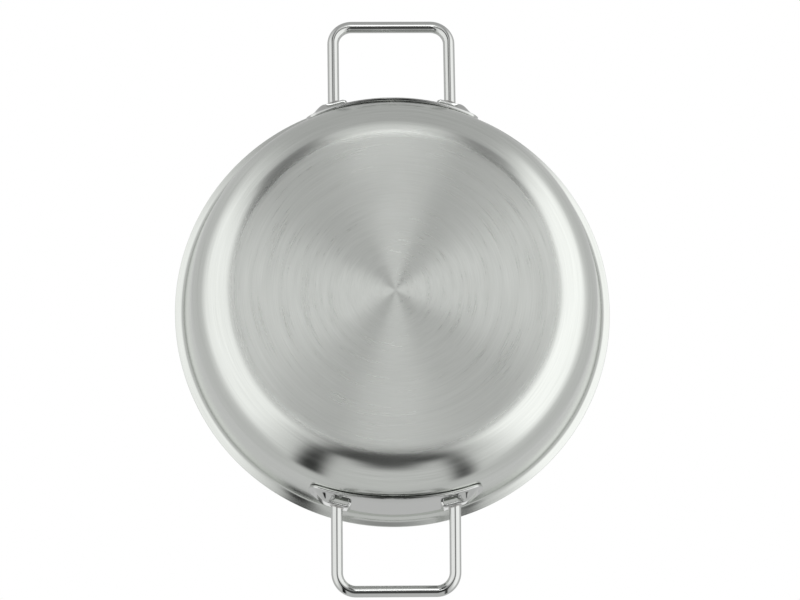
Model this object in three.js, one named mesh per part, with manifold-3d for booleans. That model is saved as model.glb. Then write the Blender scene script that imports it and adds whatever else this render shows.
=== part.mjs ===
// Two-handled serving pan: a clad steel bowl with a pouring lip and, at each end, a stamped strap that
// carries a wire loop handle. Millimetres, +Z up, the base on z = 0 and the handles along X.
import * as THREE from 'three';
import { mergeVertices } from 'three/addons/utils/BufferGeometryUtils.js';
import Module from 'manifold-3d';

const wasm = await Module();
wasm.setup();
const { degToRad, lerp } = THREE.MathUtils;

// Bowl, measured on its outer face
const rimRadius = 140;
const panHeight = 70;
const cornerRadius = 30;
const wallFlare = degToRad(7.5);
const lipWidth = 6.1;
const lipBendRadius = 6;
const lipSlope = degToRad(28);

// Layers of the clad sheet, from the outside in
const outerPlyThickness = 0.6;
const corePlyThickness = 1.6;
const innerPlyThickness = 0.5;
const bondLine = 0.05;

// Strap: heights above the base, and lengths measured sideways from its middle
const strapThickness = 2;
const strapClearance = 0.3;
const strapLow = 20.5;
const strapLowEnd = 26;
const strapHigh = 51;
const strapHighEnd = 47;
const strapShoulder = 48.5;
const strapTip = 54.6;

// Raised pad on each half of the strap, upright and freed from the lower band by a slit
const slitHeight = 34.5;
const slitEndRamp = 6;
const padLift = 3.1;
const padStart = 31;
const padLength = 12.5;
const padNearRamp = 1.8;
const padFarRamp = 8;

// Spot welds between strap and wall
const nuggetRadius = 1.7;
const nuggetClearance = 0.05;
const dimpleRadius = 0.7;
const dimpleDepth = 0.4;
const middleWeldHeight = 27.5;
const bandWeldSide = 35;
const bandWeldHeight = 28.5;
const tipWeldSide = 51.4;
const tipWeldHeight = 37;

// Wire loop handle
const wireRadius = 3.7;
const legSide = 37.4;
const legHeight = 40;
const loopReach = 53.5;
const loopRise = degToRad(8.5);
const loopBendRadius = 12;
const legClearance = 0.3;

// Weld bead round the foot of each leg
const beadWidth = 1.4;
const beadTopWidth = 1;
const beadHeight = 1;

// Facets
const lathePanels = 60;
const cornerSteps = 5;
const lipSteps = 3;
const strapArcStep = degToRad(2);
const bandSteps = 4;
const wireSides = 12;
const wireSteps = 48;
const smallRoundSides = 12;

// Colours
const satinSteel = { color: 0xb9bab6, roughness: 0.34, metalness: 1 };
const polishedSteel = { color: 0xcfd0ce, roughness: 0.1, metalness: 1 };
const aluminium = { color: 0xc9cbcc, roughness: 0.4, metalness: 1 };
const weldSteel = { color: 0xa9aaa7, roughness: 0.45, metalness: 1 };

// Solids

function solidOf(geometry) {
  const bare = geometry.clone();
  bare.deleteAttribute('normal');
  bare.deleteAttribute('uv');
  const merged = mergeVertices(bare);
  const vertProperties = new Float32Array(merged.attributes.position.array);
  const triVerts = new Uint32Array(merged.index.array);
  return new wasm.Manifold(new wasm.Mesh({ numProp: 3, vertProperties, triVerts }));
}

function geometryOf(solid) {
  const { vertProperties, triVerts } = solid.getMesh();
  const geometry = new THREE.BufferGeometry();
  geometry.setAttribute('position', new THREE.BufferAttribute(vertProperties, 3));
  geometry.setIndex(new THREE.BufferAttribute(triVerts, 1));
  geometry.computeVertexNormals();
  return geometry;
}

function piece(name, geometry, look) {
  const mesh = new THREE.Mesh(geometry, new THREE.MeshStandardMaterial(look));
  mesh.name = name;
  return mesh;
}

// Section of the sheet: radius across, height up

const coreDepth = outerPlyThickness + bondLine;
const innerDepth = coreDepth + corePlyThickness + bondLine;
const sheetThickness = innerDepth + innerPlyThickness;
const wallSlope = Math.PI / 2 - wallFlare;
const outward = (slope) => new THREE.Vector2(Math.sin(slope), -Math.cos(slope));

const bendWidth = lipBendRadius * (Math.sin(wallSlope) - Math.sin(lipSlope));
const bendRise = lipBendRadius * (Math.cos(lipSlope) - Math.cos(wallSlope));
const flatLipRise = (lipWidth - bendWidth) * Math.tan(lipSlope);
const lipEnd = new THREE.Vector2(rimRadius, panHeight - sheetThickness * Math.cos(lipSlope));
const wallTop = new THREE.Vector2(rimRadius - lipWidth, lipEnd.y - flatLipRise - bendRise);
const lipBendCentre = outward(wallSlope).multiplyScalar(lipBendRadius).add(wallTop);
const cornerTopHeight = cornerRadius * (1 - Math.cos(wallSlope));
const cornerTopRadius = wallTop.x - (wallTop.y - cornerTopHeight) * Math.tan(wallFlare);
const baseRadius = cornerTopRadius - cornerRadius * Math.sin(wallSlope);
const cornerCentre = new THREE.Vector2(baseRadius, cornerRadius);

function wallRadius(height) {
  if (height < cornerTopHeight) {
    return baseRadius + Math.sqrt(cornerRadius ** 2 - (cornerRadius - height) ** 2);
  }
  return cornerTopRadius + (height - cornerTopHeight) * Math.tan(wallFlare);
}

// The line from the axis to the edge of the lip, at a depth below the outer face.
function sheetLine(depth) {
  const points = [new THREE.Vector2(0, depth)];
  for (let i = 0; i <= cornerSteps; i += 1) {
    const slope = (wallSlope * i) / cornerSteps;
    points.push(outward(slope).multiplyScalar(cornerRadius - depth).add(cornerCentre));
  }
  for (let i = 0; i <= lipSteps; i += 1) {
    const slope = wallSlope + ((lipSlope - wallSlope) * i) / lipSteps;
    points.push(outward(slope).multiplyScalar(-lipBendRadius - depth).add(lipBendCentre));
  }
  points.push(outward(lipSlope).multiplyScalar(-depth).add(lipEnd));
  return points;
}

function plyGeometry(depth, thickness) {
  const section = [...sheetLine(depth), ...sheetLine(depth + thickness).reverse()];
  return new THREE.LatheGeometry(section, lathePanels).rotateX(Math.PI / 2);
}

// Strap, drawn from above as the line of its inner face at each height

const seatRadius = (height) => wallRadius(height) + strapClearance;
const padBackRadius = seatRadius(legHeight) + padLift;
const padFaceRadius = padBackRadius + strapThickness;
const padEnd = padStart + padLength;
const nearFoot = padStart - padNearRamp;
const farFoot = padEnd + padFarRamp;
const slitFoot = padEnd - slitEndRamp;
const arcReach = strapTip + strapThickness;

const onCircle = (radius, side) => new THREE.Vector2(Math.sqrt(radius ** 2 - side ** 2), side);

function arcLine(radius, fromSide, toSide) {
  const sweep = Math.asin(toSide / padBackRadius) - Math.asin(fromSide / padBackRadius);
  const steps = Math.ceil(sweep / strapArcStep);
  const points = [];
  for (let i = 0; i <= steps; i += 1) {
    points.push(onCircle(radius, lerp(fromSide, toSide, i / steps)));
  }
  return points;
}

// The whole line from its right half, which starts in the middle.
function bothHalves(half) {
  const mirrored = half.slice(1).map((point) => new THREE.Vector2(point.x, -point.y));
  return [...mirrored.reverse(), ...half];
}

// The band lies on the wall, and only the end of the slit rises with height to meet the pad.
function bandLine(height) {
  const seat = seatRadius(height);
  const rise = Math.max(0, (height - strapLowEnd) / (slitHeight - strapLowEnd));
  return bothHalves([
    ...arcLine(seat, 0, nearFoot),
    ...arcLine(seat, nearFoot, slitFoot).slice(1),
    onCircle(lerp(seat, padBackRadius, rise), padEnd),
    ...arcLine(seat, farFoot, arcReach),
  ]);
}

function bridgeLine(height) {
  const seat = seatRadius(height);
  return bothHalves([
    ...arcLine(seat, 0, nearFoot),
    ...arcLine(padBackRadius, padStart, padEnd),
    ...arcLine(seat, farFoot, arcReach),
  ]);
}

// Shifts an open line sideways by a distance, away from the axis, with mitred corners.
function offsetLine(line, distance) {
  const normals = line.slice(1).map((point, i) => {
    const run = point.clone().sub(line[i]).normalize();
    return new THREE.Vector2(run.y, -run.x);
  });
  return line.map((point, i) => {
    const before = normals[Math.max(i - 1, 0)];
    const after = normals[Math.min(i, normals.length - 1)];
    const mitre = before.clone().add(after);
    return mitre.multiplyScalar(distance / (1 + before.dot(after))).add(point);
  });
}

// A sheet of the strap's thickness that follows a line through a list of heights.
function strapPlate(lineAt, levels) {
  const rows = levels.map((level) => {
    const line = lineAt(level);
    const raise = (point) => new THREE.Vector3(point.x, point.y, level);
    return { inner: line.map(raise), outer: offsetLine(line, strapThickness).map(raise) };
  });
  const bottom = rows[0];
  const top = rows[rows.length - 1];
  const last = bottom.inner.length - 1;
  const corners = [];
  const addCell = (a, b, c, d) => corners.push(a, b, c, a, c, d);
  for (let i = 0; i < last; i += 1) {
    addCell(bottom.inner[i], bottom.inner[i + 1], bottom.outer[i + 1], bottom.outer[i]);
    addCell(top.inner[i], top.outer[i], top.outer[i + 1], top.inner[i + 1]);
  }
  for (let k = 1; k < rows.length; k += 1) {
    const below = rows[k - 1];
    const above = rows[k];
    for (let i = 0; i < last; i += 1) {
      addCell(below.outer[i], below.outer[i + 1], above.outer[i + 1], above.outer[i]);
      addCell(below.inner[i], above.inner[i], above.inner[i + 1], below.inner[i + 1]);
    }
    addCell(below.inner[0], below.outer[0], above.outer[0], above.inner[0]);
    addCell(below.inner[last], above.inner[last], above.outer[last], below.outer[last]);
  }
  return solidOf(new THREE.BufferGeometry().setFromPoints(corners));
}

// Everything that the strap's outline covers, seen from straight outside.
function strapOutlineSolid() {
  const lowControl = 2 * strapLow - strapLowEnd;
  const highControl = 2 * strapHigh - strapHighEnd;
  const tipControl = (4 * strapTip - strapShoulder) / 3;
  const tipRun = (tipControl - strapShoulder) / strapShoulder;
  const lowTip = strapLowEnd + (strapLowEnd - lowControl) * tipRun;
  const highTip = strapHighEnd + (strapHighEnd - highControl) * tipRun;
  const outline = new THREE.Shape();
  outline.moveTo(-strapShoulder, strapLowEnd);
  outline.quadraticCurveTo(0, lowControl, strapShoulder, strapLowEnd);
  outline.bezierCurveTo(tipControl, lowTip, tipControl, highTip, strapShoulder, strapHighEnd);
  outline.quadraticCurveTo(0, highControl, -strapShoulder, strapHighEnd);
  outline.bezierCurveTo(-tipControl, highTip, -tipControl, lowTip, -strapShoulder, strapLowEnd);
  const geometry = new THREE.ExtrudeGeometry(outline, {
    depth: 2 * padFaceRadius,
    curveSegments: 14,
    bevelEnabled: false,
  });
  const sideways = new THREE.Vector3(0, 1, 0);
  const upwards = new THREE.Vector3(0, 0, 1);
  const outwards = new THREE.Vector3(1, 0, 0);
  geometry.applyMatrix4(new THREE.Matrix4().makeBasis(sideways, upwards, outwards));
  return solidOf(geometry);
}

// A short round bar square to the wall, its middle at a distance outside the wall.
function wallPlug(side, height, outside, radius, length) {
  const reach = wallRadius(height) + outside;
  const bearing = Math.asin(side / reach);
  const geometry = new THREE.CylinderGeometry(radius, radius, length, smallRoundSides);
  geometry.rotateZ(-Math.PI / 2);
  geometry.rotateY(wallFlare);
  geometry.rotateZ(bearing);
  geometry.translate(reach * Math.cos(bearing), side, height);
  return geometry;
}

const spotWelds = [
  ['middle', 0, middleWeldHeight],
  ['band', -bandWeldSide, bandWeldHeight],
  ['band', bandWeldSide, bandWeldHeight],
  ['tip', -tipWeldSide, tipWeldHeight],
  ['tip', tipWeldSide, tipWeldHeight],
];

function strapGeometry() {
  const belowEdge = strapLow - strapThickness;
  const aboveEdge = strapHigh + strapThickness;
  const bandLevels = [];
  for (let i = 0; i <= bandSteps; i += 1) {
    bandLevels.push(lerp(belowEdge, slitHeight, i / bandSteps));
  }
  const band = strapPlate(bandLine, bandLevels);
  const bridge = strapPlate(bridgeLine, [slitHeight, aboveEdge]);
  let strap = band.add(bridge).intersect(strapOutlineSolid());
  for (const [, side, height] of spotWelds) {
    const outerFace = strapClearance + strapThickness;
    strap = strap.subtract(solidOf(wallPlug(side, height, outerFace, dimpleRadius, 2 * dimpleDepth)));
  }
  return geometryOf(strap);
}

function nuggetGeometry(side, height) {
  const length = strapClearance - 2 * nuggetClearance;
  return wallPlug(side, height, strapClearance / 2, nuggetRadius, length);
}

// Wire loop: out along one leg, round two bends and back along the other, in a plane that climbs outwards

const legFoot = onCircle(padFaceRadius, legSide).x;

class LoopCurve extends THREE.Curve {
  constructor(start, reach, halfWidth, bend) {
    super();
    this.leg = reach - bend - start;
    this.turn = (bend * Math.PI) / 2;
    this.bar = 2 * (halfWidth - bend);
    this.start = start;
    this.halfWidth = halfWidth;
    this.bend = bend;
  }

  // Distance out from the pad and distance sideways, at a length along the first half of the wire.
  halfPoint(length) {
    if (length <= this.leg) {
      return [this.start + length, this.halfWidth];
    }
    const bendStart = this.start + this.leg;
    if (length <= this.leg + this.turn) {
      const angle = (length - this.leg) / this.bend;
      const across = this.halfWidth - this.bend * (1 - Math.cos(angle));
      return [bendStart + this.bend * Math.sin(angle), across];
    }
    const alongBar = length - this.leg - this.turn;
    return [bendStart + this.bend, this.halfWidth - this.bend - alongBar];
  }

  getPoint(t, target = new THREE.Vector3()) {
    const total = 2 * (this.leg + this.turn) + this.bar;
    const length = t * total;
    const second = length > total / 2;
    const [out, across] = this.halfPoint(second ? total - length : length);
    const side = second ? -across : across;
    return target.set(out * Math.cos(loopRise), side, out * Math.sin(loopRise));
  }
}

function wireSolid(radius) {
  const startInsidePad = -3 * strapThickness;
  const path = new LoopCurve(startInsidePad, loopReach, legSide, loopBendRadius);
  const section = new THREE.Shape();
  section.absarc(0, 0, radius, 0, 2 * Math.PI);
  const geometry = new THREE.ExtrudeGeometry(section, {
    steps: wireSteps,
    curveSegments: wireSides / 2,
    extrudePath: path,
  });
  geometry.translate(legFoot, 0, legHeight);
  return solidOf(geometry);
}

// Everything behind the pads' outer face, with a clearance in front of it.
function behindPads(clearance) {
  const radius = padFaceRadius + clearance;
  const panels = Math.round((2 * Math.PI) / strapArcStep);
  const geometry = new THREE.CylinderGeometry(radius, radius, 4 * legHeight, panels);
  geometry.rotateX(Math.PI / 2);
  return solidOf(geometry);
}

function loopGeometry() {
  return geometryOf(wireSolid(wireRadius).subtract(behindPads(legClearance)));
}

function beadGeometry(side) {
  const cone = new THREE.CylinderGeometry(
    wireRadius + beadTopWidth,
    wireRadius + beadWidth,
    beadHeight,
    wireSides,
  );
  cone.rotateZ(-Math.PI / 2);
  cone.translate(padFaceRadius + legClearance + beadHeight / 2, 0, legHeight);
  cone.rotateZ(Math.asin(side / padFaceRadius));
  return geometryOf(solidOf(cone).subtract(wireSolid(wireRadius + legClearance)));
}

// Assembly

const pan = new THREE.Group();
pan.add(piece('outer_ply', plyGeometry(0, outerPlyThickness), satinSteel));
pan.add(piece('core_ply', plyGeometry(coreDepth, corePlyThickness), aluminium));
pan.add(piece('inner_ply', plyGeometry(innerDepth, innerPlyThickness), satinSteel));

// One end of the pan, built at +X, with the names of its sides towards -Y and +Y.
function handleEnd(label, minusSide, plusSide) {
  const end = new THREE.Group();
  end.add(piece(`${label}_strap`, strapGeometry(), polishedSteel));
  end.add(piece(`${label}_loop`, loopGeometry(), polishedSteel));
  end.add(piece(`${label}_bead_${minusSide}`, beadGeometry(-legSide), weldSteel));
  end.add(piece(`${label}_bead_${plusSide}`, beadGeometry(legSide), weldSteel));
  for (const [place, side, height] of spotWelds) {
    const facing = side < 0 ? minusSide : plusSide;
    const name = side === 0 ? `${label}_nugget_${place}` : `${label}_nugget_${place}_${facing}`;
    end.add(piece(name, nuggetGeometry(side, height), weldSteel));
  }
  return end;
}

const rightEnd = handleEnd('right', 'front', 'rear');
const leftEnd = handleEnd('left', 'rear', 'front');
leftEnd.rotation.z = Math.PI;
pan.add(rightEnd, leftEnd);

export default pan;
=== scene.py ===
"""Looks of the two-handled serving pan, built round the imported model.

The scene is in metres, with +Z up and the handles along X. The pan's own sizes are in millimetres.
"""

import math

import bmesh
import bpy
from mathutils import Matrix, Vector


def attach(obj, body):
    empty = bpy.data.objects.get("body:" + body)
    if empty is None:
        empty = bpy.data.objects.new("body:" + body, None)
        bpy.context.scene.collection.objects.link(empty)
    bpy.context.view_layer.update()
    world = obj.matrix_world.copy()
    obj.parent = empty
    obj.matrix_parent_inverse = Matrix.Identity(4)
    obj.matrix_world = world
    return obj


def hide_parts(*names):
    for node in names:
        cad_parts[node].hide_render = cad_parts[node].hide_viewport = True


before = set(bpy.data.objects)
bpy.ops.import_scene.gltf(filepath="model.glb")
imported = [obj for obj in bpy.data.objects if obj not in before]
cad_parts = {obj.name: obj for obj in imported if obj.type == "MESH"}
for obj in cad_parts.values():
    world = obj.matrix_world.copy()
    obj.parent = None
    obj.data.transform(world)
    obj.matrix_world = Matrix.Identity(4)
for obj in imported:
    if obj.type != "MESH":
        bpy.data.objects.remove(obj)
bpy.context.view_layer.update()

MM = 0.001

# Bowl, in millimetres, measured on its outer face as in the part's source
RIM_RADIUS = 140
PAN_HEIGHT = 70
CORNER_RADIUS = 30
WALL_FLARE = math.radians(7.5)
LIP_WIDTH = 6.1
LIP_BEND_RADIUS = 6
LIP_SLOPE = math.radians(28)
OUTER_PLY = 0.6
CORE_PLY = 1.6
INNER_PLY = 0.5
BOND_LINE = 0.05
RIM_EDGE_ROUND = 0.4

# Where the finish of the base passes into the wall's, in millimetres out from the edge of the base
FINISH_START = 1
FINISH_END = 9

# Strap, in millimetres: heights above the base and lengths sideways from its middle
STRAP_THICKNESS = 2
STRAP_CLEARANCE = 0.3
STRAP_LOW = 20.5
STRAP_LOW_END = 26
STRAP_HIGH = 51
STRAP_HIGH_END = 47
STRAP_SHOULDER = 48.5
STRAP_TIP = 54.6
STRAP_EDGE_ROUND = 0.5
# Where the painted shade on the strap's cut edge is full, and where it has passed into the polish,
# sideways from the middle
EDGE_SHADE_FULL_TO = 10
EDGE_SHADE_END = 36
SLIT_HEIGHT = 34.5
SLIT_END_RAMP = 6
SLIT_OUTER_ROUND = 1.1
SLIT_INNER_ROUND = 0.3
PAD_LIFT = 3.1
PAD_START = 31
PAD_LENGTH = 12.5
PAD_NEAR_RAMP = 1.8
PAD_FAR_RAMP = 8
DIMPLE_RADIUS = 0.9
DIMPLE_DEPTH = 0.35
DIMPLE_ZONE = 1.2
SPOT_WELDS = ((0, 27.5), (-35, 28.5), (35, 28.5), (-51.4, 37), (51.4, 37))

# Wire loop and its weld beads, in millimetres
WIRE_RADIUS = 3.7
LEG_SIDE = 37.4
LEG_HEIGHT = 40
LOOP_REACH = 53.5
LOOP_RISE = math.radians(8.5)
LOOP_BEND_RADIUS = 12
LEG_CLEARANCE = 0.3
BEAD_WIDTH = 1.2
BEAD_HEIGHT = 1.0
BEAD_RIPPLES = 17
BEAD_RIPPLE_DEPTH = 0.03
BEAD_CLEARANCE = 0.02
BEAD_SINK = 0.05

# Steps of the smooth meshes
LATHE_STEPS = 240
BASE_RINGS = 6
CORNER_STEPS = 20
LIP_STEPS = 10
ROUND_STEPS = 4
STRAP_ROWS = 24
TIP_STEPS = 40
WIRE_SIDES = 40
BEND_STEPS = 20
STRAIGHT_STEPS = 6
BEAD_STEPS = 6

# Small lengths of the smooth meshes, in millimetres, and the angle at which an edge looks sharp
STRAIGHT_HOLD = 0.3
NORMAL_STEP = 0.02
TOUCH = 0.0001
MERGE_DISTANCE = 0.005
SHARP_ANGLE = math.radians(35)


# Section of the sheet: radius across, height up, in millimetres

CORE_DEPTH = OUTER_PLY + BOND_LINE
INNER_DEPTH = CORE_DEPTH + CORE_PLY + BOND_LINE
SHEET = INNER_DEPTH + INNER_PLY
WALL_SLOPE = math.pi / 2 - WALL_FLARE


def outward(slope):
    """The direction out of the pan's outer face where the face has this slope."""
    return Vector((math.sin(slope), -math.cos(slope)))


BEND_WIDTH = LIP_BEND_RADIUS * (math.sin(WALL_SLOPE) - math.sin(LIP_SLOPE))
BEND_RISE = LIP_BEND_RADIUS * (math.cos(LIP_SLOPE) - math.cos(WALL_SLOPE))
FLAT_LIP_RISE = (LIP_WIDTH - BEND_WIDTH) * math.tan(LIP_SLOPE)
LIP_END = Vector((RIM_RADIUS, PAN_HEIGHT - SHEET * math.cos(LIP_SLOPE)))
WALL_TOP = Vector((RIM_RADIUS - LIP_WIDTH, LIP_END.y - FLAT_LIP_RISE - BEND_RISE))
LIP_BEND_CENTRE = WALL_TOP + LIP_BEND_RADIUS * outward(WALL_SLOPE)
CORNER_TOP_HEIGHT = CORNER_RADIUS * (1 - math.cos(WALL_SLOPE))
CORNER_TOP_RADIUS = WALL_TOP.x - (WALL_TOP.y - CORNER_TOP_HEIGHT) * math.tan(WALL_FLARE)
BASE_RADIUS = CORNER_TOP_RADIUS - CORNER_RADIUS * math.sin(WALL_SLOPE)
CORNER_CENTRE = Vector((BASE_RADIUS, CORNER_RADIUS))


def wall_radius(height):
    """Radius of the outer face at a height on the corner or the wall."""
    if height < CORNER_TOP_HEIGHT:
        return BASE_RADIUS + math.sqrt(CORNER_RADIUS**2 - (CORNER_RADIUS - height) ** 2)
    return CORNER_TOP_RADIUS + (height - CORNER_TOP_HEIGHT) * math.tan(WALL_FLARE)


def held(start, end, after_start, before_end):
    """Two points just inside the ends of a straight, which keep it straight in smooth shading."""
    along = (end - start).normalized()
    return [start + after_start * along, end - before_end * along]


def sheet_line(depth):
    """The line from near the axis to the edge of the lip, at a depth below the outer face."""
    points = [Vector((BASE_RADIUS * i / BASE_RINGS, depth)) for i in range(1, BASE_RINGS)]
    points.append(Vector((BASE_RADIUS - STRAIGHT_HOLD, depth)))
    for i in range(CORNER_STEPS + 1):
        slope = WALL_SLOPE * i / CORNER_STEPS
        points.append(CORNER_CENTRE + (CORNER_RADIUS - depth) * outward(slope))
    bend = []
    for i in range(LIP_STEPS + 1):
        slope = WALL_SLOPE + (LIP_SLOPE - WALL_SLOPE) * i / LIP_STEPS
        bend.append(LIP_BEND_CENTRE - (LIP_BEND_RADIUS + depth) * outward(slope))
    points += held(points[-1], bend[0], STRAIGHT_HOLD, STRAIGHT_HOLD)
    points += bend
    lip_end = LIP_END - depth * outward(LIP_SLOPE)
    points += held(bend[-1], lip_end, STRAIGHT_HOLD, RIM_EDGE_ROUND + STRAIGHT_HOLD)
    points.append(lip_end)
    return points


def rounded_corner(corner, before, after, radius):
    """Points of a round at a square corner, reached along one direction and left along another."""
    centre = corner - radius * before + radius * after
    points = []
    for i in range(ROUND_STEPS + 1):
        angle = math.pi / 2 * i / ROUND_STEPS
        points.append(centre + radius * (math.sin(angle) * before - math.cos(angle) * after))
    return points


# Meshes


def make_piece(name, vertices, faces, materials, replaced, painted_shade_faces=()):
    """Adds a smooth closed piece from points in millimetres, its second material, the painted shade of
    a strap's edge, on the listed faces.
    """
    mesh = bpy.data.meshes.new(name)
    mesh.from_pydata([Vector(v) * MM for v in vertices], [], faces)
    for index in painted_shade_faces:
        mesh.polygons[index].material_index = 1
    body = bmesh.new()
    body.from_mesh(mesh)
    bmesh.ops.remove_doubles(body, verts=body.verts, dist=MERGE_DISTANCE * MM)
    bmesh.ops.recalc_face_normals(body, faces=body.faces)
    for face in body.faces:
        face.smooth = True
    for edge in body.edges:
        edge.smooth = len(edge.link_faces) != 2 or edge.calc_face_angle() < SHARP_ANGLE
    body.to_mesh(mesh)
    body.free()
    for material in materials:
        mesh.materials.append(material)
    piece = bpy.data.objects.new(name, mesh)
    bpy.context.scene.collection.objects.link(piece)
    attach(piece, "root")
    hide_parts(replaced)


def add_patch(vertices, faces, grid):
    """Adds the four-sided faces of a grid of points."""
    first = len(vertices)
    width = len(grid[0])
    for row in grid:
        vertices.extend(row)
    for i in range(len(grid) - 1):
        for j in range(width - 1):
            corner = first + i * width + j
            faces.append((corner, corner + 1, corner + width + 1, corner + width))


def lathe(section):
    """Vertices and faces of a section turned about Z, closed on the axis at both its ends."""
    vertices = []
    faces = []
    grid = []
    for i in range(LATHE_STEPS + 1):
        angle = 2 * math.pi * (i % LATHE_STEPS) / LATHE_STEPS
        grid.append([(p.x * math.cos(angle), p.x * math.sin(angle), p.y) for p in section])
    add_patch(vertices, faces, grid)
    for end in (0, -1):
        pole = len(vertices)
        vertices.append((0, 0, section[end].y))
        width = len(section)
        column = end % width
        for i in range(LATHE_STEPS):
            faces.append((pole, i * width + column, (i + 1) * width + column))
    return vertices, faces


def ply_section(depth, thickness, round_outside=False, round_inside=False):
    """Closed section of one ply, with its edge at the lip rounded on the sides that show."""
    towards_edge = Vector((math.cos(LIP_SLOPE), math.sin(LIP_SLOPE)))
    into_pan = -outward(LIP_SLOPE)
    outer = sheet_line(depth)
    inner = sheet_line(depth + thickness)
    if round_outside:
        outer[-1:] = rounded_corner(outer[-1], towards_edge, into_pan, RIM_EDGE_ROUND)
    if round_inside:
        inner[-1:] = rounded_corner(inner[-1], towards_edge, -into_pan, RIM_EDGE_ROUND)
    return outer + inner[::-1]


# Node helpers


def new_material(name, colour):
    """A metal material, with its node tree and its shader."""
    material = bpy.data.materials.new(name)
    material.use_nodes = True
    material.diffuse_color = (*colour, 1)
    shader = material.node_tree.nodes["Principled BSDF"]
    shader.inputs["Metallic"].default_value = 1
    shader.inputs["Base Color"].default_value = (*colour, 1)
    return material, material.node_tree, shader


def feed(tree, socket, value):
    """Links a socket to a node's output, or sets it to a number."""
    if isinstance(value, bpy.types.NodeSocket):
        tree.links.new(value, socket)
    else:
        socket.default_value = value


def calculate(tree, operation, first, second=0.0):
    """A Math node."""
    node = tree.nodes.new("ShaderNodeMath")
    node.operation = operation
    feed(tree, node.inputs[0], first)
    feed(tree, node.inputs[1], second)
    return node.outputs[0]


def vector_calculate(tree, operation, first, second=(0, 0, 0)):
    """A Vector Math node that gives a vector."""
    node = tree.nodes.new("ShaderNodeVectorMath")
    node.operation = operation
    feed(tree, node.inputs[0], first)
    feed(tree, node.inputs[1], second)
    return node.outputs["Vector"]


def dot(tree, first, second):
    """The dot product of two vectors."""
    node = tree.nodes.new("ShaderNodeVectorMath")
    node.operation = "DOT_PRODUCT"
    feed(tree, node.inputs[0], first)
    feed(tree, node.inputs[1], second)
    return node.outputs["Value"]


def remap(tree, value, low, high, to_low, to_high, smooth=False):
    """Maps a range of a value to another range, held at its ends."""
    node = tree.nodes.new("ShaderNodeMapRange")
    node.interpolation_type = "SMOOTHSTEP" if smooth else "LINEAR"
    feed(tree, node.inputs["Value"], value)
    node.inputs["From Min"].default_value = low
    node.inputs["From Max"].default_value = high
    feed(tree, node.inputs["To Min"], to_low)
    feed(tree, node.inputs["To Max"], to_high)
    return node.outputs["Result"]


def noise(tree, vector, scale, detail, roughness):
    """A noise texture's value."""
    node = tree.nodes.new("ShaderNodeTexNoise")
    feed(tree, node.inputs["Vector"], vector)
    node.inputs["Scale"].default_value = scale
    node.inputs["Detail"].default_value = detail
    node.inputs["Roughness"].default_value = roughness
    return node.outputs["Fac"]


def place_of(tree):
    """The shaded point in the shared frame, in metres."""
    return tree.nodes.new("ShaderNodeTexCoord").outputs["Object"]


def mix_colours(tree, share, first, second):
    """A colour that passes from a first to a second as a share goes from 0 to 1."""
    node = tree.nodes.new("ShaderNodeMix")
    node.data_type = "RGBA"
    tree.links.new(share, node.inputs["Factor"])
    for letter, colour in (("A", first), ("B", second)):
        socket = next(s for s in node.inputs if s.name == letter and s.type == "RGBA")
        socket.default_value = (*colour, 1)
    return next(s for s in node.outputs if s.type == "RGBA")


def add_bump(tree, shader, height, strength, distance):
    """Gives a shader a bumped normal."""
    node = tree.nodes.new("ShaderNodeBump")
    feed(tree, node.inputs["Strength"], strength)
    feed(tree, node.inputs["Height"], height)
    node.inputs["Distance"].default_value = distance
    tree.links.new(node.outputs["Normal"], shader.inputs["Normal"])


def axis_distance(tree, place):
    """The distance of a place from the Z axis."""
    node = tree.nodes.new("ShaderNodeVectorMath")
    node.operation = "LENGTH"
    tree.links.new(vector_calculate(tree, "MULTIPLY", place, (1, 1, 0)), node.inputs[0])
    return node.outputs["Value"]


def ring_vector(tree, lines_per_metre, arc):
    """A vector that runs fast across circles round Z and slowly along them."""
    place = place_of(tree)
    flat = vector_calculate(tree, "MULTIPLY", place, (1, 1, 0))
    bearing = vector_calculate(tree, "NORMALIZE", flat)
    along = vector_calculate(tree, "MULTIPLY", bearing, (arc, arc, 0))
    height = dot(tree, place, (0, 0, 1))
    across = calculate(tree, "ADD", axis_distance(tree, place), height)
    combine = tree.nodes.new("ShaderNodeCombineXYZ")
    tree.links.new(calculate(tree, "MULTIPLY", across, lines_per_metre), combine.inputs["Z"])
    return vector_calculate(tree, "ADD", along, combine.outputs["Vector"])


def circular_brushing(tree, shader, anisotropy):
    """Stretches the gloss across brushing lines that run in circles round Z."""
    quarter_turn = 0.25
    tangent = tree.nodes.new("ShaderNodeTangent")
    tangent.direction_type = "RADIAL"
    tangent.axis = "Z"
    tree.links.new(tangent.outputs["Tangent"], shader.inputs["Tangent"])
    feed(tree, shader.inputs["Anisotropic"], anisotropy)
    shader.inputs["Anisotropic Rotation"].default_value = quarter_turn


# Materials

STEEL_DARK = (0.655, 0.675, 0.645)
STEEL_LIGHT = (0.745, 0.765, 0.735)
ALUMINIUM = (0.78, 0.78, 0.79)
POLISH = (0.64, 0.65, 0.635)
WELD_METAL = (0.58, 0.575, 0.56)
# Near-black painted shade for the middle of the strap's cut edge
PAINTED_EDGE_SHADE = (0.07, 0.07, 0.068)


def base_to_wall(tree, at_base, on_wall):
    """A value that passes from the base's finish to the wall's across the start of the corner."""
    away = axis_distance(tree, place_of(tree))
    start = (BASE_RADIUS + FINISH_START) * MM
    end = (BASE_RADIUS + FINISH_END) * MM
    return remap(tree, away, start, end, at_base, on_wall, smooth=True)


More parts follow.
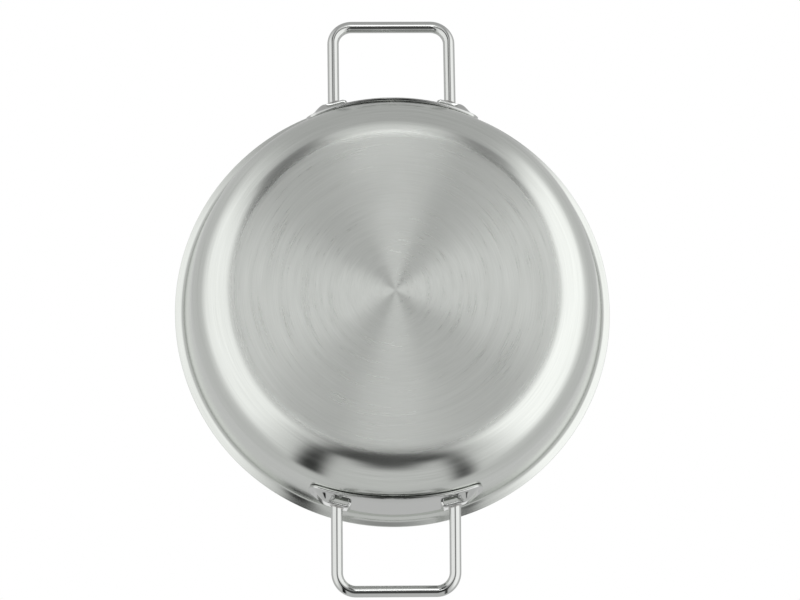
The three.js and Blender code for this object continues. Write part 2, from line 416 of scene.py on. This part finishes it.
def brushed_steel(name, roughness, anisotropy, lines_per_metre, bump):
    """Steel brushed in circles, with a value for the base and one for the wall where two are given."""
    material, tree, shader = new_material(name, STEEL_LIGHT)
    line_share = 0.6
    lines_per_band = 9
    across_lines = ring_vector(tree, lines_per_metre, arc=3.0)
    across_bands = ring_vector(tree, lines_per_metre / lines_per_band, arc=1.5)
    lines = noise(tree, across_lines, scale=1.0, detail=3.0, roughness=0.6)
    bands = noise(tree, across_bands, scale=1.0, detail=2.0, roughness=0.5)
    cloud = noise(tree, place_of(tree), scale=22.0, detail=3.0, roughness=0.5)
    fine = calculate(tree, "MULTIPLY", lines, line_share)
    broad = calculate(tree, "MULTIPLY", bands, 1 - line_share)
    texture = calculate(tree, "ADD", fine, broad)
    shade = remap(tree, texture, 0.35, 0.65, 0.0, 1.0)
    colour = mix_colours(tree, shade, STEEL_DARK, STEEL_LIGHT)
    tree.links.new(colour, shader.inputs["Base Color"])
    grain = remap(tree, texture, 0.35, 0.65, 0.9, 1.1)
    haze = remap(tree, cloud, 0.3, 0.7, 0.94, 1.06)
    gloss = calculate(tree, "MULTIPLY", grain, haze)
    gloss = calculate(tree, "MULTIPLY", gloss, base_to_wall(tree, *roughness))
    tree.links.new(gloss, shader.inputs["Roughness"])
    circular_brushing(tree, shader, base_to_wall(tree, *anisotropy))
    add_bump(tree, shader, lines, strength=base_to_wall(tree, *bump), distance=0.00004)
    return material


def polished_steel(name, colour):
    """Mirror polish with hairline scratches, faint haze and the slight waves of stamped metal."""
    material, tree, shader = new_material(name, colour)
    place = place_of(tree)
    stretched = vector_calculate(tree, "MULTIPLY", place, (1.0, 0.12, 1.0))
    hairlines = noise(tree, stretched, scale=2600.0, detail=3.0, roughness=0.7)
    haze = noise(tree, place, scale=60.0, detail=3.0, roughness=0.55)
    scratch = remap(tree, hairlines, 0.55, 0.8, 0.0, 0.025)
    polish = remap(tree, haze, 0.35, 0.65, 0.05, 0.09)
    tree.links.new(calculate(tree, "ADD", polish, scratch), shader.inputs["Roughness"])
    waves = noise(tree, place, scale=140.0, detail=1.0, roughness=0.4)
    add_bump(tree, shader, waves, strength=0.04, distance=0.0001)
    return material


def core_aluminium(name, colour):
    """Bare aluminium with fine turned lines."""
    material, tree, shader = new_material(name, colour)
    across_lines = ring_vector(tree, lines_per_metre=5200.0, arc=4.0)
    lines = noise(tree, across_lines, scale=1.0, detail=2.0, roughness=0.6)
    tree.links.new(remap(tree, lines, 0.3, 0.7, 0.32, 0.46), shader.inputs["Roughness"])
    add_bump(tree, shader, lines, strength=0.15, distance=0.00003)
    return material


def weld_steel(name, colour):
    """Lightly dressed weld metal or a raw edge, with a fine grain and uneven gloss."""
    material, tree, shader = new_material(name, colour)
    place = place_of(tree)
    grain = noise(tree, place, scale=900.0, detail=3.0, roughness=0.6)
    patches = noise(tree, place, scale=260.0, detail=2.0, roughness=0.5)
    tree.links.new(remap(tree, patches, 0.3, 0.7, 0.22, 0.42), shader.inputs["Roughness"])
    add_bump(tree, shader, grain, strength=0.25, distance=0.00008)
    return material


def painted_shade_edge_steel(name, colour, end_colour):
    """The cut edge of a strap with painted shade: near black in its middle, passing into the polish at
    its ends.
    """
    material = weld_steel(name, colour)
    tree = material.node_tree
    side = calculate(tree, "ABSOLUTE", dot(tree, place_of(tree), (0, 1, 0)))
    share = remap(tree, side, EDGE_SHADE_FULL_TO * MM, EDGE_SHADE_END * MM, 0.0, 1.0)
    shader = tree.nodes["Principled BSDF"]
    tree.links.new(mix_colours(tree, share, colour, end_colour), shader.inputs["Base Color"])
    return material


outer_satin = brushed_steel(
    "outer_satin_steel",
    roughness=(0.3, 0.18),
    anisotropy=(1.0, 0.4),
    lines_per_metre=2600.0,
    bump=(0.07, 0.05),
)
inside_satin = brushed_steel(
    "inside_satin_steel",
    roughness=(0.34, 0.28),
    anisotropy=(0.8, 0.6),
    lines_per_metre=3000.0,
    bump=(0.1, 0.08),
)
aluminium = core_aluminium("core_aluminium", ALUMINIUM)
polished = polished_steel("polished_steel", POLISH)
weld = weld_steel("weld_steel", WELD_METAL)
# The strap's cut edge, with painted shade in its middle fading into the polish
painted_shade_edge = painted_shade_edge_steel("painted_shade_edge_steel", PAINTED_EDGE_SHADE, POLISH)


# Bowl


def add_plies():
    """The three plies of the bowl."""
    vertices, faces = lathe(ply_section(0, OUTER_PLY, round_outside=True))
    make_piece("outer_shell", vertices, faces, [outer_satin], "outer_ply")
    vertices, faces = lathe(ply_section(CORE_DEPTH, CORE_PLY))
    make_piece("core_shell", vertices, faces, [aluminium], "core_ply")
    vertices, faces = lathe(ply_section(INNER_DEPTH, INNER_PLY, round_inside=True))
    make_piece("inner_shell", vertices, faces, [inside_satin], "inner_ply")


# Strap

PAD_BACK_RADIUS = wall_radius(LEG_HEIGHT) + STRAP_CLEARANCE + PAD_LIFT
PAD_FACE_RADIUS = PAD_BACK_RADIUS + STRAP_THICKNESS
PAD_END = PAD_START + PAD_LENGTH
NEAR_FOOT = PAD_START - PAD_NEAR_RAMP
FAR_FOOT = PAD_END + PAD_FAR_RAMP
SLIT_FOOT = PAD_END - SLIT_END_RAMP


def ease(amount):
    """A smooth step from 0 to 1."""
    amount = min(max(amount, 0), 1)
    return amount * amount * (3 - 2 * amount)


def strap_seat(side, height, raised):
    """A point of the strap's inner face: on a raised pad, or on the band that lies on the wall."""
    seat = wall_radius(height) + STRAP_CLEARANCE
    lift = ease((FAR_FOOT - abs(side)) / PAD_FAR_RAMP)
    if raised:
        lift *= ease((abs(side) - NEAR_FOOT) / PAD_NEAR_RAMP)
    else:
        lift *= ease((abs(side) - SLIT_FOOT) / SLIT_END_RAMP)
        lift *= ease((height - STRAP_LOW_END) / (SLIT_HEIGHT - STRAP_LOW_END))
    radius = seat + (PAD_BACK_RADIUS - seat) * lift
    return Vector((math.sqrt(radius**2 - side**2), side, height))


def strap_point(side, height, depth, raised):
    """A point at a depth out from the strap's inner face, the same on pad and band where they join."""
    if abs(side) < NEAR_FOOT + TOUCH:
        raised = False
    elif abs(side) > PAD_END - TOUCH and height > SLIT_HEIGHT - TOUCH:
        raised = True
    step = NORMAL_STEP
    here = strap_seat(side, height, raised)
    run = strap_seat(side + step, height, raised) - strap_seat(side - step, height, raised)
    rise = strap_seat(side, height + step, raised) - strap_seat(side, height - step, raised)
    return here + depth * run.cross(rise).normalized()


def outer_depth(side, height):
    """Thickness of the strap at a place, less at the marks of the spot welds."""
    depth = STRAP_THICKNESS
    for weld_side, weld_height in SPOT_WELDS:
        away = math.hypot(side - weld_side, height - weld_height)
        depth -= DIMPLE_DEPTH * ease(1 - away / DIMPLE_RADIUS)
    return depth


def bezier(points, amount):
    """A point on a curve with the given control points."""
    while len(points) > 1:
        points = [a.lerp(b, amount) for a, b in zip(points, points[1:])]
    return points[0]


def strap_columns():
    """Places sideways, close together at the ramps and the spot welds."""
    stops = (
        (DIMPLE_ZONE, 5),
        (NEAR_FOOT, 22),
        (PAD_START, 10),
        (SLIT_FOOT, 24),
        (PAD_END, 10),
        (STRAP_SHOULDER, 8),
    )
    half = [0]
    for end, steps in stops:
        start = half[-1]
        half += [start + (end - start) * i / steps for i in range(1, steps + 1)]
    return [-side for side in reversed(half[1:])] + half


def strap_outline():
    """Lower edge, right tip, upper edge and left tip as points sideways and up."""
    low_control = 2 * STRAP_LOW - STRAP_LOW_END
    high_control = 2 * STRAP_HIGH - STRAP_HIGH_END
    tip_control = (4 * STRAP_TIP - STRAP_SHOULDER) / 3
    tip_run = (tip_control - STRAP_SHOULDER) / STRAP_SHOULDER
    low_tip = STRAP_LOW_END + (STRAP_LOW_END - low_control) * tip_run
    high_tip = STRAP_HIGH_END + (STRAP_HIGH_END - high_control) * tip_run
    low_left = Vector((-STRAP_SHOULDER, STRAP_LOW_END))
    low_right = Vector((STRAP_SHOULDER, STRAP_LOW_END))
    high_left = Vector((-STRAP_SHOULDER, STRAP_HIGH_END))
    high_right = Vector((STRAP_SHOULDER, STRAP_HIGH_END))
    lower = [low_left, Vector((0, low_control)), low_right]
    upper = [high_left, Vector((0, high_control)), high_right]
    right = [low_right, Vector((tip_control, low_tip)), Vector((tip_control, high_tip)), high_right]
    left = [low_left, Vector((-tip_control, low_tip)), Vector((-tip_control, high_tip)), high_left]
    shares = [(side + STRAP_SHOULDER) / (2 * STRAP_SHOULDER) for side in strap_columns()]
    tip_shares = [i / TIP_STEPS for i in range(TIP_STEPS + 1)]
    lower_edge = [bezier(lower, share) for share in shares]
    upper_edge = [bezier(upper, share) for share in shares]
    right_tip = [bezier(right, share) for share in tip_shares]
    left_tip = [bezier(left, share) for share in tip_shares]
    return lower_edge, right_tip, upper_edge, left_tip


def ways_out(loop):
    """Each point of a closed outline with the direction out of it, its inside being on the left."""
    ring = [loop[-1], *loop, loop[0]]
    result = []
    for before, point, after in zip(ring, ring[1:], ring[2:]):
        run = (after - before).normalized()
        result.append((point, Vector((run.y, -run.x))))
    return result


def slit_share(side):
    """1 along a slit, falling to 0 at its two ends, where its edges meet."""
    near = ease((abs(side) - NEAR_FOOT) / PAD_NEAR_RAMP)
    far = ease((PAD_END - abs(side)) / SLIT_END_RAMP)
    return near * far


def edge_profile(place, out, raised, outer_round, inner_round, at_edge=False):
    """Points across a rounded edge from the outer to the inner face.

    The place is where the rounds start, or the edge itself where at_edge is set.
    """
    profile = []
    for radius, start, lift in (
        (outer_round, 0, STRAP_THICKNESS - outer_round),
        (inner_round, math.pi / 2, inner_round),
    ):
        back = radius if at_edge else 0
        for i in range(ROUND_STEPS + 1):
            angle = start + math.pi / 2 * i / ROUND_STEPS
            point = place + (radius * math.sin(angle) - back) * out
            profile.append(strap_point(point.x, point.y, lift + radius * math.cos(angle), raised))
    return profile


def strap_mesh():
    """One stamped strap at +X, its two pads cut free of its lower band, and the faces of its cut edge
    that take the painted shade.
    """
    lower_edge, right_tip, upper_edge, left_tip = strap_outline()
    loop = lower_edge + right_tip[1:-1] + upper_edge[::-1] + left_tip[::-1][1:-1]
    outs = ways_out(loop)
    pulled = [point - STRAP_EDGE_ROUND * out for point, out in outs]
    count = len(lower_edge)
    tip = TIP_STEPS - 1
    low = pulled[:count]
    right = pulled[count - 1 : count + tip + 1]
    high = pulled[count + tip : 2 * count + tip][::-1]
    left = (pulled[2 * count + tip - 1 :] + pulled[:1])[::-1]
    vertices = []
    faces = []

    def sheet(start_points, end_points, raised, outside):
        """Adds rows of faces between two lines, on the outer or the inner face."""
        grid = []
        for start, end in zip(start_points, end_points):
            row = []
            for j in range(STRAP_ROWS + 1):
                place = start.lerp(end, j / STRAP_ROWS)
                depth = outer_depth(place.x, place.y) if outside else 0
                row.append(strap_point(place.x, place.y, depth, raised))
            grid.append(row)
        add_patch(vertices, faces, grid)

    columns = strap_columns()
    spine = [Vector((side, SLIT_HEIGHT)) for side in columns]
    pad_edge = [place + Vector((0, SLIT_OUTER_ROUND * slit_share(place.x))) for place in spine]
    pad_back_edge = [place + Vector((0, SLIT_INNER_ROUND * slit_share(place.x))) for place in spine]
    band_edge = [place - Vector((0, SLIT_INNER_ROUND * slit_share(place.x))) for place in spine]
    sheet(pad_edge, high, True, True)
    sheet(pad_back_edge, high, True, False)
    for outside in (True, False):
        sheet(band_edge, low, False, outside)
        sheet([spine[-1]] * len(right), right, False, outside)
        sheet([spine[0]] * len(left), left, False, outside)

    rim = []
    for (point, out), inner in zip(outs, pulled):
        raised = point.y > SLIT_HEIGHT
        rim.append(edge_profile(inner, out, raised, STRAP_EDGE_ROUND, STRAP_EDGE_ROUND))
    rim_start = len(faces)
    rim_width = len(rim[0]) - 1
    add_patch(vertices, faces, rim + rim[:1])
    # The flat between the two rounds of the rim, along the middle of the strap, which takes the painted
    # shade
    painted_shade_faces = [
        rim_start + i * rim_width + ROUND_STEPS
        for i, (point, _) in enumerate(outs)
        if abs(point.x) < EDGE_SHADE_END
    ]

    down = Vector((0, -1))
    for sign in (-1, 1):
        slit = [place for place in spine if NEAR_FOOT - TOUCH < sign * place.x < PAD_END + TOUCH]
        pad_wall = []
        band_wall = []
        for place in slit:
            share = slit_share(place.x)
            outer_round = SLIT_OUTER_ROUND * share
            inner_round = SLIT_INNER_ROUND * share
            pad_wall.append(edge_profile(place, down, True, outer_round, inner_round, at_edge=True))
            band_wall.append(edge_profile(place, -down, False, inner_round, inner_round, at_edge=True))
        add_patch(vertices, faces, pad_wall)
        add_patch(vertices, faces, band_wall)
    return vertices, faces, painted_shade_faces


# Wire loop and weld beads

LEG_FOOT = math.sqrt(PAD_FACE_RADIUS**2 - LEG_SIDE**2)
PAD_MIDDLE = Vector((LEG_FOOT, 0, LEG_HEIGHT))
LEG_RUN = Vector((math.cos(LOOP_RISE), 0, math.sin(LOOP_RISE)))
LOOP_UP = Vector((-math.sin(LOOP_RISE), 0, math.cos(LOOP_RISE)))
SIDEWAYS = Vector((0, 1, 0))


def onto_pad(point, clearance):
    """Slides a point along the leg until it stands off the pads' round face by a clearance."""
    face = math.sqrt((PAD_FACE_RADIUS + clearance) ** 2 - point.y**2)
    return point + LEG_RUN * ((face - point.x) / LEG_RUN.x)


def loop_path():
    """Points of the wire's centre line with its direction, from one leg round to the other."""
    bend_out = LOOP_REACH - LOOP_BEND_RADIUS
    bend_side = LEG_SIDE - LOOP_BEND_RADIUS
    path = []
    for i in range(STRAIGHT_STEPS):
        path.append((bend_out * i / STRAIGHT_STEPS, LEG_SIDE, math.pi / 2))
    for i in range(BEND_STEPS + 1):
        angle = math.pi / 2 * (1 - i / BEND_STEPS)
        out = bend_out + LOOP_BEND_RADIUS * math.cos(angle)
        side = bend_side + LOOP_BEND_RADIUS * math.sin(angle)
        path.append((out, side, angle))
    for i in range(1, STRAIGHT_STEPS):
        path.append((LOOP_REACH, bend_side * (1 - i / STRAIGHT_STEPS), 0))
    mirrored = [(out, -side, -angle) for out, side, angle in reversed(path)]
    return path + [(LOOP_REACH, 0, 0)] + mirrored


def wire_ring(out, side, angle):
    """A ring of the wire's skin, square to its centre line."""
    centre = PAD_MIDDLE + out * LEG_RUN + side * SIDEWAYS
    away = math.cos(angle) * LEG_RUN + math.sin(angle) * SIDEWAYS
    ring = []
    for i in range(WIRE_SIDES + 1):
        turn = 2 * math.pi * (i % WIRE_SIDES) / WIRE_SIDES
        ring.append(centre + WIRE_RADIUS * (math.cos(turn) * away + math.sin(turn) * LOOP_UP))
    return ring


def loop_mesh():
    """The wire loop at +X, its feet cut to the slant of the pads."""
    grid = [wire_ring(*step) for step in loop_path()]
    grid[0] = [onto_pad(point, LEG_CLEARANCE) for point in grid[0]]
    grid[-1] = [onto_pad(point, LEG_CLEARANCE) for point in grid[-1]]
    vertices = []
    faces = []
    add_patch(vertices, faces, grid)
    faces.append(tuple(range(WIRE_SIDES)))
    last = len(vertices) - WIRE_SIDES - 1
    faces.append(tuple(range(last, last + WIRE_SIDES)))
    return vertices, faces


def bead_mesh(side):
    """The hollow fillet of weld round one leg's foot, with the small ripples of its passes."""
    grid = []
    steps = 2 * WIRE_SIDES
    bore = WIRE_RADIUS + BEAD_CLEARANCE
    foot = onto_pad(PAD_MIDDLE + side * SIDEWAYS, 0)
    for i in range(steps + 1):
        turn = 2 * math.pi * (i % steps) / steps
        away = math.cos(turn) * SIDEWAYS + math.sin(turn) * LOOP_UP
        ripple = 1 + BEAD_RIPPLE_DEPTH * math.sin(BEAD_RIPPLES * turn)
        profile = []
        for j in range(BEAD_STEPS + 1):
            angle = math.pi / 2 * j / BEAD_STEPS
            reach = bore + BEAD_WIDTH * ripple * (1 - math.sin(angle))
            height = BEAD_HEIGHT * ripple * (1 - math.cos(angle)) - BEAD_SINK
            profile.append(onto_pad(foot + reach * away, height))
        profile.append(onto_pad(foot + bore * away, -BEAD_SINK))
        profile.append(profile[0])
        grid.append(profile)
    vertices = []
    faces = []
    add_patch(vertices, faces, grid)
    return vertices, faces


def turned(vertices, half_turn):
    """The vertices of a mesh, turned to the other end of the pan if asked."""
    if half_turn:
        return [(-x, -y, z) for x, y, z in vertices]
    return vertices


def add_handle_end(label, half_turn, minus_side, plus_side):
    """Strap, loop and beads of one end, with the names of its sides before it is turned."""
    # The strap's second material paints shade on the middle of its cut edge
    vertices, faces, painted_shade_faces = strap_mesh()
    vertices = turned(vertices, half_turn)
    make_piece(
        f"{label}_stamped_strap",
        vertices,
        faces,
        [polished, painted_shade_edge],
        f"{label}_strap",
        painted_shade_faces,
    )
    vertices, faces = loop_mesh()
    vertices = turned(vertices, half_turn)
    make_piece(f"{label}_wire_loop", vertices, faces, [polished], f"{label}_loop")
    for name, side in ((minus_side, -LEG_SIDE), (plus_side, LEG_SIDE)):
        vertices, faces = bead_mesh(side)
        vertices = turned(vertices, half_turn)
        replaced = f"{label}_bead_{name}"
        make_piece(f"{label}_weld_{name}", vertices, faces, [weld], replaced)


add_plies()
add_handle_end("right", False, "front", "rear")
add_handle_end("left", True, "rear", "front")

# The hidden nuggets stay as they are packed and take the material of the welds
for node_name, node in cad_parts.items():
    if "nugget" in node_name:
        node.data.materials.clear()
        node.data.materials.append(weld)


# Studio in metres, with the camera under the pan, looking up at its base

TARGET = Vector((0.0032, 0.0041, 0.045))
CAMERA_DISTANCE = 3.0
CAMERA_TILT = math.radians(12.0)
CAMERA_SIDE_TILT = math.radians(1.8)
CAMERA_ROLL = math.radians(0.6)
CAMERA_LENS = 211.4
SENSOR_WIDTH = 36
FLOOR_SIZE = 12
FLOOR_DROP = 0.0004
FLOOR_GREY = 0.86
FLOOR_PALENESS = 0.25
WHITE = 1.0


def add_floor():
    """A pale floor under the pan, seen from above only."""
    bpy.ops.mesh.primitive_plane_add(size=FLOOR_SIZE, location=(0, 0, -FLOOR_DROP))
    floor = bpy.context.active_object
    floor.name = "floor"
    material = bpy.data.materials.new("pale_floor")
    material.use_nodes = True
    tree = material.node_tree
    shader = tree.nodes["Principled BSDF"]
    shader.inputs["Base Color"].default_value = (FLOOR_GREY, FLOOR_GREY, FLOOR_GREY, 1)
    shader.inputs["Roughness"].default_value = 0.7
    shader.inputs["Emission Color"].default_value = (1, 1, 1, 1)
    camera_ray = tree.nodes.new("ShaderNodeLightPath").outputs["Is Camera Ray"]
    paleness = calculate(tree, "MULTIPLY", camera_ray, FLOOR_PALENESS)
    tree.links.new(paleness, shader.inputs["Emission Strength"])
    geometry = tree.nodes.new("ShaderNodeNewGeometry")
    clear = tree.nodes.new("ShaderNodeBsdfTransparent")
    mix = tree.nodes.new("ShaderNodeMixShader")
    tree.links.new(geometry.outputs["Backfacing"], mix.inputs["Fac"])
    tree.links.new(shader.outputs["BSDF"], mix.inputs[1])
    tree.links.new(clear.outputs["BSDF"], mix.inputs[2])
    tree.links.new(mix.outputs["Shader"], tree.nodes["Material Output"].inputs["Surface"])
    floor.data.materials.append(material)
    floor.visible_glossy = False
    floor.visible_diffuse = False
    floor.visible_transmission = False
    floor.visible_shadow = False


def sky_angles(tree, tilt):
    """The slant of a sky direction from a tilted pole and its bearing from +Y to +X, in degrees."""
    direction = tree.nodes.new("ShaderNodeTexCoord").outputs["Generated"]
    pole = (math.sin(tilt), 0, -math.cos(tilt))
    up = (math.cos(tilt), 0, math.sin(tilt))
    slant = calculate(tree, "ARCCOSINE", dot(tree, direction, pole))
    bearing = calculate(tree, "ARCTAN2", dot(tree, direction, up), dot(tree, direction, (0, 1, 0)))
    return calculate(tree, "DEGREES", slant), calculate(tree, "DEGREES", bearing)


def within(tree, value, middle, half, softness):
    """1 where a value lies within a half width of a middle, falling to 0 over a soft edge."""
    away = calculate(tree, "ABSOLUTE", calculate(tree, "SUBTRACT", value, middle))
    return remap(tree, away, half - softness, half + softness, 1.0, 0.0, smooth=True)


def panel_mask(tree, angles, panel):
    """How much of a sky direction a panel covers, by its slants and, if it has one, its bearing."""
    slant, bearing = angles
    start, end = panel["slants"]
    mask = within(tree, slant, (start + end) / 2, (end - start) / 2, panel["soft"])
    if "bearing" not in panel:
        return mask
    turned_away = calculate(tree, "SUBTRACT", bearing, panel["bearing"])
    half_turn = 180
    wrap = tree.nodes.new("ShaderNodeMath")
    wrap.operation = "WRAP"
    tree.links.new(turned_away, wrap.inputs[0])
    wrap.inputs[1].default_value = half_turn
    wrap.inputs[2].default_value = -half_turn
    sideways = within(tree, wrap.outputs[0], 0.0, panel["half_width"], panel["side_soft"])
    return calculate(tree, "MULTIPLY", mask, sideways)


# Panels round straight down: a pale ring, a box of light at each side of the pan, strips along +X
SKY_LEVEL = 0.62
FAR_PANELS = (
    {"slants": (42, 100), "soft": 10, "level": 0.74},
    {"slants": (17, 88), "soft": 10, "bearing": 3, "half_width": 48, "side_soft": 12, "level": 1.29},
    {"slants": (17, 88), "soft": 10, "bearing": 178, "half_width": 43, "side_soft": 12, "level": 1.15},
    {"slants": (5, 50), "soft": 4, "bearing": 89, "half_width": 16, "side_soft": 3, "level": 0.82},
    {"slants": (50, 150), "soft": 8, "bearing": 89, "half_width": 32, "side_soft": 8, "level": 0.5},
)

# Panels round the direction in which the base mirrors the camera, which draw the rays on the base
NEAR_PANELS = (
    {"slants": (-18, 18), "soft": 8, "level": 0.4},
    {"slants": (3, 26), "soft": 3, "bearing": 48, "half_width": 14, "side_soft": 4, "level": 0.0},
    {"slants": (3, 26), "soft": 3, "bearing": 129, "half_width": 19, "side_soft": 4, "level": 0.0},
    {"slants": (20, 42), "soft": 4, "bearing": 57, "half_width": 10, "side_soft": 4, "level": 0.25},
    {"slants": (20, 42), "soft": 4, "bearing": 124, "half_width": 13, "side_soft": 4, "level": 0.2},
    {"slants": (3, 18), "soft": 3, "bearing": 228, "half_width": 14, "side_soft": 6, "level": 0.38},
    {"slants": (3, 18), "soft": 3, "bearing": 306, "half_width": 16, "side_soft": 6, "level": 0.36},
    {"slants": (3, 15), "soft": 2.5, "bearing": 82, "half_width": 14, "side_soft": 4, "level": 3.3},
    {"slants": (2.5, 9), "soft": 2, "bearing": 258, "half_width": 15, "side_soft": 4, "level": 3.3},
)

# Panels round straight down: the dark curve on the lower corner, the grey beyond it, a light overhead
DARK_PANELS = (
    {"slants": (36, 105), "soft": 6, "bearing": 268.5, "half_width": 27, "side_soft": 3, "level": 0.65},
    {"slants": (33, 105), "soft": 6, "bearing": 239.5, "half_width": 5.5, "side_soft": 3, "level": 0.0},
    {"slants": (33, 105), "soft": 6, "bearing": 296, "half_width": 4, "side_soft": 3, "level": 0.05},
    {"slants": (0.5, 36), "soft": 5, "bearing": 269, "half_width": 31, "side_soft": 5, "level": 0.02},
    {"slants": (12, 48), "soft": 7, "bearing": 269, "half_width": 12, "side_soft": 7, "level": 0.08},
    {"slants": (168, 192), "soft": 5, "level": 1.0},
)


def add_sky():
    """A sky that is white to the camera and holds the panels for other rays, later ones on top."""
    world = bpy.data.worlds.new("studio")
    bpy.context.scene.world = world
    world.use_nodes = True
    tree = world.node_tree
    background = tree.nodes["Background"]
    round_down = sky_angles(tree, 0)
    round_mirror = sky_angles(tree, CAMERA_TILT)
    layers = ((round_down, FAR_PANELS), (round_mirror, NEAR_PANELS), (round_down, DARK_PANELS))
    level = SKY_LEVEL
    for angles, panels in layers:
        for panel in panels:
            mask = panel_mask(tree, angles, panel)
            level = remap(tree, mask, 0.0, 1.0, level, panel["level"])
    camera_ray = tree.nodes.new("ShaderNodeLightPath").outputs["Is Camera Ray"]
    level = remap(tree, camera_ray, 0.0, 1.0, level, WHITE)
    tree.links.new(level, background.inputs["Strength"])
    background.inputs["Color"].default_value = (1, 1, 1, 1)


add_floor()
add_sky()


# Camera


def add_camera():
    """The camera at the photograph's angle, with the line of the handles upright in the picture."""
    data = bpy.data.cameras.new("camera")
    data.lens = CAMERA_LENS
    data.sensor_width = SENSOR_WIDTH
    camera = bpy.data.objects.new("camera", data)
    bpy.context.scene.collection.objects.link(camera)
    away = Vector((-math.tan(CAMERA_TILT), -math.tan(CAMERA_SIDE_TILT), -1)).normalized()
    up = Vector((math.cos(CAMERA_ROLL), math.sin(CAMERA_ROLL), 0))
    right = up.cross(away).normalized()
    up = away.cross(right)
    rotation = Matrix((right, up, away)).transposed()
    camera.matrix_world = Matrix.Translation(TARGET + CAMERA_DISTANCE * away) @ rotation.to_4x4()
    bpy.context.scene.camera = camera


add_camera()
bpy.context.scene.view_settings.view_transform = "Standard"
